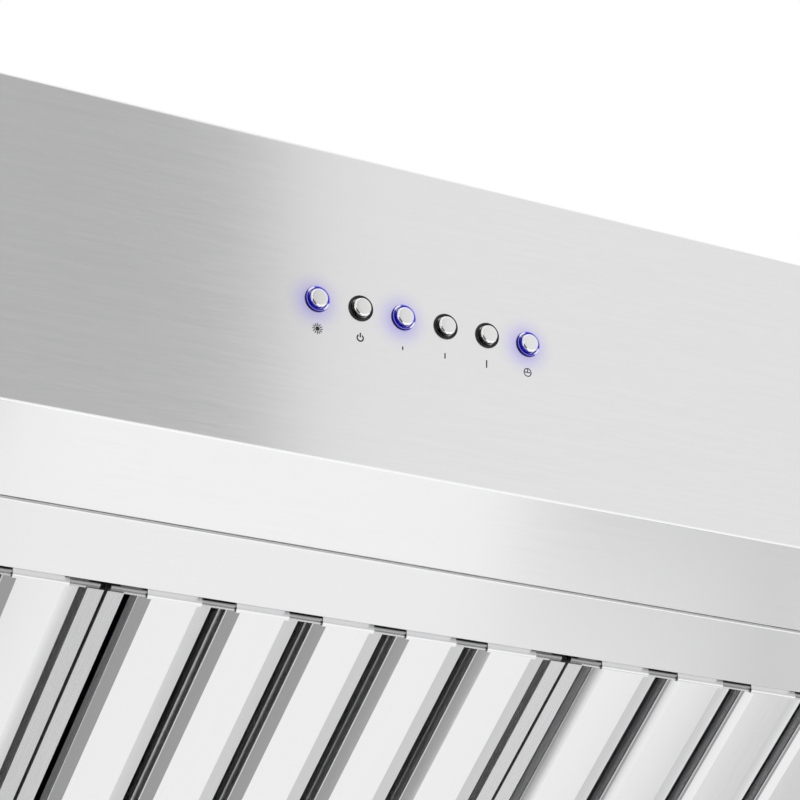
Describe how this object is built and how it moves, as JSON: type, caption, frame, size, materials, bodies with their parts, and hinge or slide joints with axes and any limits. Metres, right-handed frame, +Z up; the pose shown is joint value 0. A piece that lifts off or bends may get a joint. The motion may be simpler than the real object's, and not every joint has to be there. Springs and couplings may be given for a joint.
{
  "type": "range hood insert",
  "caption": "Built-in cooker hood insert with a sloped push-button fascia, interlocking baffle filters, a squirrel-cage blower and a round duct collar with a damper.",
  "frame": {"origin": "middle of the bounding box's bottom face, on the plane that the underside rests on", "axes": "+X along the width to the right as the cook sees it, +Y from the cook towards the wall, +Z up"},
  "size_m": [0.873, 0.56, 0.352],
  "materials": {
    "brushed_stainless": "fine horizontal brushing, satin",
    "baffle_stainless": "bright rolled stainless",
    "galvanised": "zinc-coated sheet",
    "black_gloss": "glossy black ring",
    "blue_light": "glossy ring lit blue",
    "satin_cap": "satin face, polished bevel",
    "black_plastic": "matte moulding",
    "circuit_board": "green solder mask",
    "lamp_glass": "frosted lens",
    "aluminium": "plain",
    "motor_paint": "black enamel",
    "wheel_steel": "zinc-plated steel",
    "steel": "bright zinc-plated",
    "magnet": "nickel-plated block",
    "grey_plastic": "moulded grey",
    "white_plastic": "moulded white"
  },
  "bodies": {
    "hood": {"front_fascia": "brushed_stainless", "side_panel_left": "brushed_stainless", "side_panel_right": "brushed_stainless", "back_panel": "brushed_stainless", "top_deck": "galvanised", "underside_pan": "brushed_stainless", "catch_magnets": "magnet", "button_rings_lit": "blue_light", "button_rings_dark": "black_gloss", "key_switches": "black_plastic", "control_board": "circuit_board", "control_housing": "black_plastic", "lamp_bezels": "steel", "lamp_lenses": "lamp_glass", "lamp_heatsinks": "aluminium", "blower_box": "galvanised", "blower_box_lid": "galvanised", "scroll_wrap": "galvanised", "scroll_side_left": "galvanised", "scroll_side_right": "galvanised", "motor_body": "motor_paint", "motor_bracket": "galvanised", "capacitor": "white_plastic", "duct_transition": "galvanised", "duct_collar": "galvanised", "junction_box": "galvanised", "junction_box_cover": "galvanised", "conduit_bushing": "black_plastic", "terminal_block": "grey_plastic", "power_module": "grey_plastic"},
    "filter_left": {"filter_frame_left": "baffle_stainless", "lower_baffles_left": "baffle_stainless", "upper_baffles_left": "baffle_stainless"},
    "filter_middle": {"filter_frame_middle": "baffle_stainless", "lower_baffles_middle": "baffle_stainless", "upper_baffles_middle": "baffle_stainless"},
    "filter_right": {"filter_frame_right": "baffle_stainless", "lower_baffles_right": "baffle_stainless", "upper_baffles_right": "baffle_stainless"},
    "wheel": {"impeller": "wheel_steel", "motor_shaft": "steel"},
    "flap_front": {"damper_flap_front": "aluminium"},
    "flap_rear": {"damper_flap_rear": "aluminium"},
    "button_light": {"button_light": "satin_cap"},
    "button_power": {"button_power": "satin_cap"},
    "button_low": {"button_low": "satin_cap"},
    "button_medium": {"button_medium": "satin_cap"},
    "button_high": {"button_high": "satin_cap"},
    "button_timer": {"button_timer": "satin_cap"}
  },
  "joints": [
    {"name": "filter_left_swing", "type": "hinge", "parent": "hood", "child": "filter_left", "pos_m": [-0.273, -0.08094, 0.006], "axis": [-1, 0, 0], "range_deg": [0, 45]},
    {"name": "filter_middle_swing", "type": "hinge", "parent": "hood", "child": "filter_middle", "pos_m": [0, -0.08094, 0.006], "axis": [-1, 0, 0], "range_deg": [0, 45]},
    {"name": "filter_right_swing", "type": "hinge", "parent": "hood", "child": "filter_right", "pos_m": [0.273, -0.08094, 0.006], "axis": [-1, 0, 0], "range_deg": [0, 45]},
    {"name": "wheel_spin", "type": "hinge", "parent": "hood", "child": "wheel", "pos_m": [0, -0.01, 0.175], "axis": [1, 0, 0], "continuous": true},
    {"name": "flap_front_swing", "type": "hinge", "parent": "hood", "child": "flap_front", "pos_m": [0, 0.0568, 0.326], "axis": [-1, 0, 0], "range_deg": [0, 75]},
    {"name": "flap_rear_swing", "type": "hinge", "parent": "hood", "child": "flap_rear", "pos_m": [0, 0.0632, 0.326], "axis": [1, 0, 0], "range_deg": [0, 75]},
    {"name": "button_light_press", "type": "slide", "parent": "hood", "child": "button_light", "axis": [0, 0.7891, 0.6143], "range_m": [0, 0.0012], "stiffness_N_per_m": 500, "springref_m": -0.0005},
    {"name": "button_power_press", "type": "slide", "parent": "hood", "child": "button_power", "axis": [0, 0.7891, 0.6143], "range_m": [0, 0.0012], "stiffness_N_per_m": 500, "springref_m": -0.0005},
    {"name": "button_low_press", "type": "slide", "parent": "hood", "child": "button_low", "axis": [0, 0.7891, 0.6143], "range_m": [0, 0.0012], "stiffness_N_per_m": 500, "springref_m": -0.0005},
    {"name": "button_medium_press", "type": "slide", "parent": "hood", "child": "button_medium", "axis": [0, 0.7891, 0.6143], "range_m": [0, 0.0012], "stiffness_N_per_m": 500, "springref_m": -0.0005},
    {"name": "button_high_press", "type": "slide", "parent": "hood", "child": "button_high", "axis": [0, 0.7891, 0.6143], "range_m": [0, 0.0012], "stiffness_N_per_m": 500, "springref_m": -0.0005},
    {"name": "button_timer_press", "type": "slide", "parent": "hood", "child": "button_timer", "axis": [0, 0.7891, 0.6143], "range_m": [0, 0.0012], "stiffness_N_per_m": 500, "springref_m": -0.0005}
  ]
}
